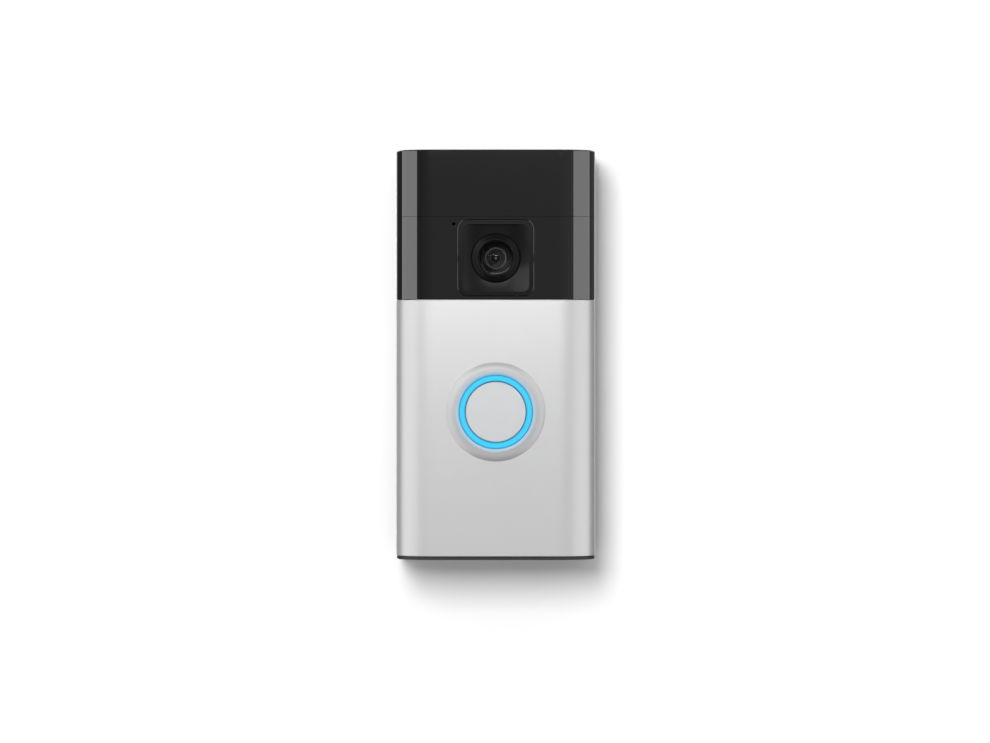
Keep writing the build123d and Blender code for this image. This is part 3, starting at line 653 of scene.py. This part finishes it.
# %% Button membrane
membrane_low, membrane_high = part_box("button_membrane")
FOOT = -membrane_high.y
CROWN = -membrane_low.y
membrane_profile = [
    (4.0 * MM, FOOT), (7.6 * MM, FOOT), (7.6 * MM, FOOT + 0.35 * MM), (5.6 * MM, CROWN),
    (3.2 * MM, CROWN), (3.2 * MM, CROWN - 0.4 * MM), (4.0 * MM, CROWN - 0.6 * MM),
]
membrane = turned("membrane", BUTTON_Z, membrane_profile, closed=True)
soft_edges = membrane.modifiers.new("soft edges", "BEVEL")
soft_edges.width = 0.08 * MM
soft_edges.segments = 2
bpy.ops.object.modifier_apply(modifier=soft_edges.name)
membrane.data.materials.append(silicone)
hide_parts("button_membrane")
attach(membrane, "faceplate")
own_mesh(membrane)

# %% [markdown]
# ## Contacts in the charging port
# A port of this kind has a row of gold contacts on each face of its tongue. One strip is a
# small block with bevelled edges. We copy it along the tongue, above and below.


# %% Port contacts
def small_block(name, low, high, bevel):
    """A block between two corners with bevelled edges."""
    bpy.ops.object.select_all(action="DESELECT")
    middle = [(a + b) / 2 for a, b in zip(low, high)]
    bpy.ops.mesh.primitive_cube_add(size=1, location=middle)
    block = bpy.context.object
    block.name = name
    block.scale = [b - a for a, b in zip(low, high)]
    bpy.ops.object.transform_apply(location=True, rotation=True, scale=True)
    bpy.ops.object.mode_set(mode="EDIT")
    bpy.ops.mesh.select_all(action="SELECT")
    bpy.ops.mesh.bevel(offset=bevel, segments=2)
    bpy.ops.object.mode_set(mode="OBJECT")
    return block


def copied(model, places, name):
    """The model copied to every place, each copy with its own mesh, and joined into one piece."""
    copies = []
    for place in places:
        bpy.ops.object.select_all(action="DESELECT")
        model.select_set(True)
        bpy.context.view_layer.objects.active = model
        bpy.ops.object.duplicate(linked=False)
        bpy.ops.transform.translate(value=place)
        copies.append(bpy.context.object)
    bpy.data.objects.remove(model)
    for copy in copies:
        copy.select_set(True)
    bpy.context.view_layer.objects.active = copies[0]
    bpy.ops.object.join()
    piece = bpy.context.object
    piece.name = name
    bpy.ops.object.transform_apply(location=True, rotation=True, scale=True)
    bpy.ops.object.shade_smooth_by_angle(angle=math.radians(30))
    return piece


tongue_low, tongue_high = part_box("usb_tongue")
CONTACTS = 8
PITCH = 0.72 * MM
CONTACT = (0.15 * MM, 3.2 * MM, 0.03 * MM)
strip_low = (-CONTACT[0], -CONTACT[1], -CONTACT[2])
strip_high = (CONTACT[0], 0, CONTACT[2])
strip = small_block("strip", strip_low, strip_high, 0.01 * MM)
strip_y = tongue_high.y - 0.3 * MM
places = [((i - (CONTACTS - 1) / 2) * PITCH, strip_y, z)
          for i in range(CONTACTS) for z in (tongue_low.z, tongue_high.z)]
contacts = copied(strip, places, "usb_contacts")
gold = finish_for("contact_gold", (0.78, 0.52, 0.18), (0.86, 0.60, 0.24), (0.95, 0.80, 0.50), 0.22, 3000,
                  0.001 * MM, metallic=1.0, wear=0.5)
contacts.data.materials.append(gold)
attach(contacts, "unit")
print("contacts:", len(places))

# %% [markdown]
# ## Mesh over the speaker
# Fine steel mesh keeps water and insects out of the speaker. It shows through the slots in
# the bottom. A grid with the wireframe modifier gives real holes between real wires.

# %% Speaker mesh
gasket_low, gasket_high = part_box("speaker_gasket")
bpy.ops.object.select_all(action="DESELECT")
WIRE = 0.12 * MM
MESH_X = 22.8 * MM
MESH_Y = 6.0 * MM
MESH_CELL = 0.4 * MM
MESH_RISE = 0.15 * MM
centre_y = (gasket_low.y + gasket_high.y) / 2
bpy.ops.mesh.primitive_grid_add(x_subdivisions=round(MESH_X / MESH_CELL),
                                y_subdivisions=round(MESH_Y / MESH_CELL),
                                size=1, location=(0, centre_y, gasket_low.z + MESH_RISE))
speaker_mesh = bpy.context.object
speaker_mesh.name = "speaker_mesh"
speaker_mesh.scale = (MESH_X, MESH_Y, 1)
bpy.ops.object.transform_apply(location=True, rotation=True, scale=True)
wires = speaker_mesh.modifiers.new("wires", "WIREFRAME")
wires.thickness = WIRE
bpy.ops.object.modifier_apply(modifier=wires.name)
mesh_steel = finish_for("mesh_steel", (0.10, 0.10, 0.105), (0.16, 0.16, 0.165), (0.35, 0.35, 0.35),
                        0.35, 9000, 0.001 * MM, metallic=1.0)
speaker_mesh.data.materials.append(mesh_steel)
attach(speaker_mesh, "unit")
print("speaker mesh has", len(speaker_mesh.data.polygons), "faces")

# %% [markdown]
# ## Small parts on the main board
# Chip capacitors crowd round the processor and the coils. One is a ceramic block between two
# plated end caps. We model one block and one cap, and copy them along rows that stand where
# the shield and the coils leave room. A row is its left end, its height, both in millimetres,
# and its count.

# %% Board parts
board_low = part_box("main_board")[0]
CHIP = (0.5 * MM, 0.5 * MM, 0.3 * MM)
CAP_FROM = 0.31 * MM
CAP_OVER = 0.02 * MM
CHIP_PITCH = 2.1
CHIP_BEVEL = 0.03 * MM
LOWEST = board_low.z + 2 * MM
chip_rows = [
    (-19, -48, 5), (0.5, -43.5, 5), (0.5, -31.5, 5), (-20, -27, 4), (14.5, -27, 3), (-20, 9, 6), (8, 9, 6),
]
places = [((left + i * CHIP_PITCH) * MM, board_low.y, max(height * MM, LOWEST))
          for left, height, count in chip_rows for i in range(count)]
body = small_block("body", (-CHIP[0], -CHIP[1], -CHIP[2]), (CHIP[0], 0, CHIP[2]), CHIP_BEVEL)
cap_low = (CAP_FROM, -CHIP[1] - CAP_OVER, -CHIP[2] - CAP_OVER)
cap_high = (CHIP[0] + CAP_OVER, 0, CHIP[2] + CAP_OVER)
cap = small_block("cap", cap_low, cap_high, CHIP_BEVEL)
far_side = -cap_low[0] - cap_high[0]
caps = copied(cap, [(0, 0, 0), (far_side, 0, 0)], "caps")
chip_bodies = copied(body, places, "board_chips")
ceramic = finish_for("chip_ceramic", (0.30, 0.19, 0.11), (0.38, 0.25, 0.15), (0.45, 0.33, 0.22),
                     0.5, 6000, 0.004 * MM)
chip_bodies.data.materials.append(ceramic)
chip_caps = copied(caps, places, "board_chip_caps")
tin = finish_for("solder_tin", (0.60, 0.60, 0.60), (0.70, 0.70, 0.70), (0.80, 0.80, 0.80),
                 0.28, 4000, 0.004 * MM, metallic=1.0)
chip_caps.data.materials.append(tin)
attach(chip_bodies, "unit")
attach(chip_caps, "unit")
print("board chips:", len(places))

# %% [markdown]
# ## Tape round the cell
# Amber polyimide tape holds the fold where the leads leave the pouch. It is a thin block with
# soft corners that stops short of the cell's sides.

# %% Cell tape
cell_low, cell_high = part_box("battery_cell")
TAPE_REACH = 7 * MM
TAPE_THICK = 0.06 * MM
TAPE_SIDE = 3.5 * MM
TAPE_TOP = 0.4 * MM
tape_low = (cell_low.x + TAPE_SIDE, cell_high.y, cell_high.z - TAPE_REACH)
tape_high = (cell_high.x - TAPE_SIDE, cell_high.y + TAPE_THICK, cell_high.z - TAPE_TOP)
tape = small_block("cell_tape", tape_low, tape_high, 0.02 * MM)
bpy.ops.object.shade_smooth_by_angle(angle=math.radians(30))
amber = finish_for("polyimide_amber", (0.42, 0.17, 0.02), (0.52, 0.23, 0.03), (0.60, 0.35, 0.10),
                   0.22, 1200, 0.01 * MM, wear=0.3)
tape.data.materials.append(amber)
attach(tape, "unit")
print("tape reaches", TAPE_REACH / MM, "mm over the cell")

# %% [markdown]
# ## The wall
# The doorbell hangs on a white wall. A shader that is clear on its back face lets a look from
# behind still see the bracket. It takes the shadow, but it lights and mirrors in nothing.

# %% Wall
bpy.ops.object.select_all(action="DESELECT")
WALL_SIZE = 6.0
WALL_BEHIND = 0.2 * MM
bpy.ops.mesh.primitive_plane_add(size=WALL_SIZE, location=(0, WALL_BEHIND, 0),
                                 rotation=(math.radians(90), 0, 0))
wall = bpy.context.object
wall.name = "wall"
material, tree, shader = start_material("wall_paint")
shader.inputs["Base Color"].default_value = (0.9, 0.9, 0.9, 1)
shader.inputs["Roughness"].default_value = 1.0
shader.inputs["Specular IOR Level"].default_value = 0.0
side = tree.nodes.new("ShaderNodeNewGeometry")
clear = tree.nodes.new("ShaderNodeBsdfTransparent")
blend = tree.nodes.new("ShaderNodeMixShader")
tree.links.new(side.outputs["Backfacing"], blend.inputs[0])
tree.links.new(shader.outputs[0], blend.inputs[1])
tree.links.new(clear.outputs[0], blend.inputs[2])
tree.links.new(blend.outputs[0], tree.nodes["Material Output"].inputs["Surface"])
wall.data.materials.append(material)
wall.visible_shadow = False
wall.visible_diffuse = False
wall.visible_glossy = False
wall.visible_transmission = False
print("wall stands", WALL_BEHIND / MM, "mm behind the bracket")

# %% [markdown]
# ## The light boxes
# One big box high on the left makes the shadow and lights the matte surfaces. Glossy parts
# need other boxes, which show only in reflections: one above, one below and a soft one on the
# left for the rounded edges, and a tall one at each side for the pale bands down the corners.
# One more box stands behind the wall, for a look from the back.


# %% Light boxes
def softbox(name, azimuth, elevation, away, radiance, shadows=False):
    """A flat box facing the wall, filling the given degrees as the doorbell sees it.

    A box for shadows lights matte surfaces and isn't mirrored. Any other box is only mirrored.
    """
    left, right = (away * math.tan(math.radians(angle)) for angle in azimuth)
    low, high = (away * math.tan(math.radians(angle)) for angle in elevation)
    data = bpy.data.lights.new(name, "AREA")
    data.shape = "RECTANGLE"
    data.size = right - left
    data.size_y = high - low
    data.energy = radiance * math.pi * data.size * data.size_y
    box = bpy.data.objects.new(name, data)
    box.location = ((left + right) / 2, -away, (low + high) / 2)
    box.rotation_euler = (math.radians(90), 0, 0)
    box.visible_camera = False
    box.visible_glossy = not shadows
    box.visible_diffuse = shadows
    bpy.context.scene.collection.objects.link(box)
    return box


softbox("key_box", (-24, -2), (7, 34), 1.5, 14.8, shadows=True)
softbox("upper_box", (-10, 10), (10, 24), 0.75, 13.5)
softbox("lower_box", (-10, 10), (-22, -8), 0.6, 0.5)
softbox("key_glow", (-36, -15), (12, 35), 0.8, 3.0)
BACK_AWAY = 1.2
back = softbox("back_box", (-35, 35), (-10, 50), BACK_AWAY, 0.9, shadows=True)
back.location.y = BACK_AWAY
back.rotation_euler.x = math.radians(-90)
back.visible_glossy = True
SIDE_AWAY = 0.8
for name, side, reach, radiance in (("left_box", -1, 1.6, 1.5), ("right_box", 1, 1.75, 1.3)):
    box = softbox(name, (-45, 45), (-58, 58), SIDE_AWAY, radiance)
    box.data.size = reach
    box.data.energy = radiance * math.pi * reach * box.data.size_y
    box.location = (side * SIDE_AWAY, -reach / 2, 0)
    box.rotation_euler = (math.radians(90), 0, side * math.radians(90))
    print(name, "stands", SIDE_AWAY, "m to the side")

# %% [markdown]
# ## The ring's glow
# A lens spreads a bright ring's light a little. A thin loop of light floats just in front of
# the ring, hidden from the camera, and tints the metal round it.

# %% Glow
bpy.ops.object.select_all(action="DESELECT")
LOOP_RADIUS = RING_OUT + 0.4 * MM
LOOP_THICK = 0.3 * MM
LOOP_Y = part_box("ring_diffuser")[0].y - 0.75 * MM
bpy.ops.mesh.primitive_torus_add(major_radius=LOOP_RADIUS, minor_radius=LOOP_THICK, major_segments=64,
                                 location=(0, LOOP_Y, BUTTON_Z), rotation=(math.radians(90), 0, 0))
glow_loop = bpy.context.object
glow_loop.name = "glow_loop"
material, tree, shader = start_material("glow_light")
shader.inputs["Base Color"].default_value = (0, 0, 0, 1)
shader.inputs["Emission Color"].default_value = (0.02, 0.55, 1.0, 1)
shader.inputs["Emission Strength"].default_value = 2.2
glow_loop.data.materials.append(material)
glow_loop.visible_camera = False
glow_loop.visible_shadow = False
glow_loop.visible_glossy = False
glow_loop.visible_transmission = False
print("glow loop is", round(LOOP_RADIUS / MM, 1), "mm in radius")

# %% [markdown]
# ## The room
# The room gives soft fill light, stronger from above. What the glossy front mirrors is dim, a
# little dimmer on the left than on the right, and paler high up where a ceiling would be. The
# camera itself sees a near-white room. A Light Path node tells the three apart.

# %% World
world = bpy.data.worlds.new("studio")
bpy.context.scene.world = world
world.use_nodes = True
tree = world.node_tree
FILL_LOW = (0.38, 0.38, 0.38, 1)
FILL_HIGH = (0.70, 0.70, 0.70, 1)
MIRRORED_LEFT = (0.075, 0.075, 0.075, 1)
MIRRORED_RIGHT = (0.21, 0.21, 0.21, 1)
CEILING = (0.4, 0.4, 0.4, 1)
SEEN = (0.93, 0.93, 0.93, 1)
place = tree.nodes.new("ShaderNodeTexCoord")
split = tree.nodes.new("ShaderNodeSeparateXYZ")
tree.links.new(place.outputs["Generated"], split.inputs[0])
across = tree.nodes.new("ShaderNodeMapRange")
across.inputs["From Min"].default_value = -0.35
across.inputs["From Max"].default_value = 0.35
tree.links.new(split.outputs["X"], across.inputs["Value"])
level = mix_colours(tree, across.outputs["Result"], MIRRORED_LEFT, MIRRORED_RIGHT)
heights = [(0.0, DARK), (0.2, DARK), (0.45, FULL), (0.85, FULL), (0.97, DARK)]
upward = ramp(tree, split.outputs["Z"], heights)
mirrored = mix_colours(tree, upward, level, CEILING)
path = tree.nodes.new("ShaderNodeLightPath")
height = tree.nodes.new("ShaderNodeMapRange")
height.inputs["From Min"].default_value = -1.0
tree.links.new(split.outputs["Z"], height.inputs["Value"])
fill = mix_colours(tree, height.outputs["Result"], FILL_LOW, FILL_HIGH)
light = mix_colours(tree, path.outputs["Is Glossy Ray"], fill, mirrored)
shown = mix_colours(tree, path.outputs["Is Camera Ray"], light, SEEN)
tree.links.new(shown, tree.nodes["Background"].inputs["Color"])
bpy.context.scene.view_settings.view_transform = "Standard"
print("stage is lit by", len(bpy.data.lights), "boxes")
